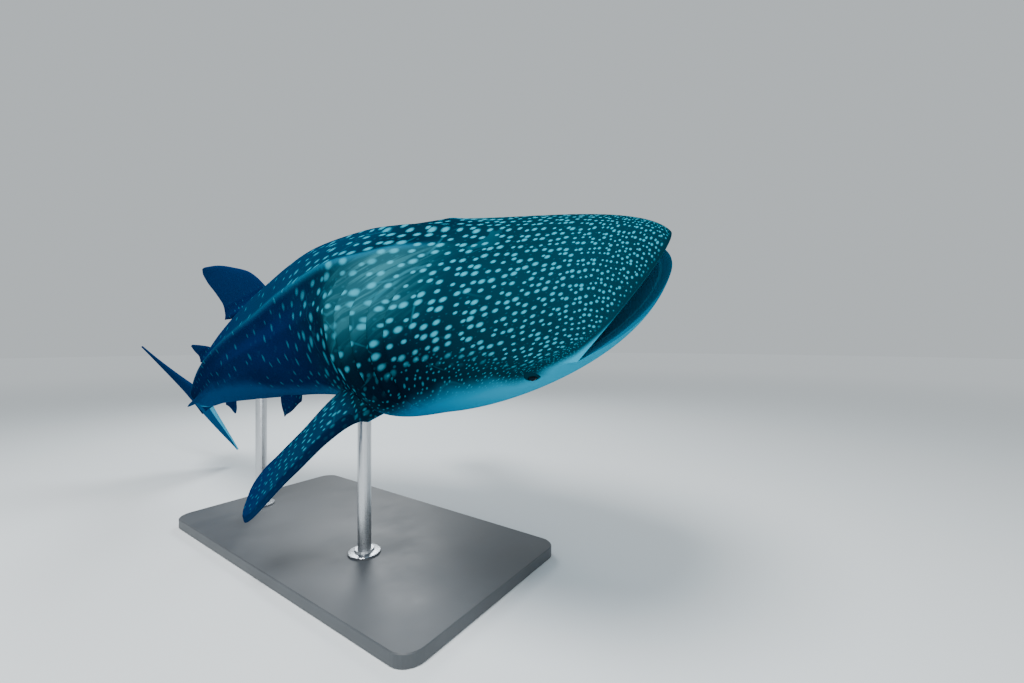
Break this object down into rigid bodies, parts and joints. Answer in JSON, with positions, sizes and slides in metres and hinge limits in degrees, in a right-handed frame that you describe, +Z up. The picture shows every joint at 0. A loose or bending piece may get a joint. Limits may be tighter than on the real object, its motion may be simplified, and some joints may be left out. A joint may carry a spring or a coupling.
{
  "type": "whale shark model on a display stand",
  "caption": "Life-size still model of a swimming whale shark, mouth a little open, banked in a gentle turn, held by rods on a flat display base.",
  "frame": {"origin": "middle of the stand base's underside, on the floor", "axes": "+X the way the shark heads, +Z up, its right side towards -Y"},
  "size_m": [7.1376, 2.3452, 2.5292],
  "materials": {
    "skin_dark": "dark blue-green spotted skin of the back",
    "skin_flank": "blue-green spotted skin of the flank, paler below",
    "skin_pale": "pale skin of the underside",
    "eye": "dark and glossy",
    "stand_base": "satin dark grey",
    "stand_rod": "brushed",
    "stand_collar": "brushed, darker"
  },
  "bodies": {
    "root": {"head": "skin_dark", "lower_jaw": "skin_pale", "gill_region": "skin_flank", "trunk_front": "skin_flank", "trunk_middle": "skin_flank", "trunk_rear": "skin_flank", "tail_stalk": "skin_flank", "first_dorsal_fin": "skin_dark", "second_dorsal_fin": "skin_dark", "anal_fin": "skin_flank", "caudal_fin_upper_lobe": "skin_dark", "caudal_fin_lower_lobe": "skin_pale", "pectoral_fin_right": "skin_dark", "pectoral_fin_left": "skin_dark", "pelvic_fin_right": "skin_flank", "pelvic_fin_left": "skin_flank", "eye_right": "eye", "eye_left": "eye", "stand_base": "stand_base", "stand_rod_front": "stand_rod", "stand_rod_rear": "stand_rod", "stand_collar_front": "stand_collar", "stand_collar_rear": "stand_collar"}
  },
  "joints": []
}
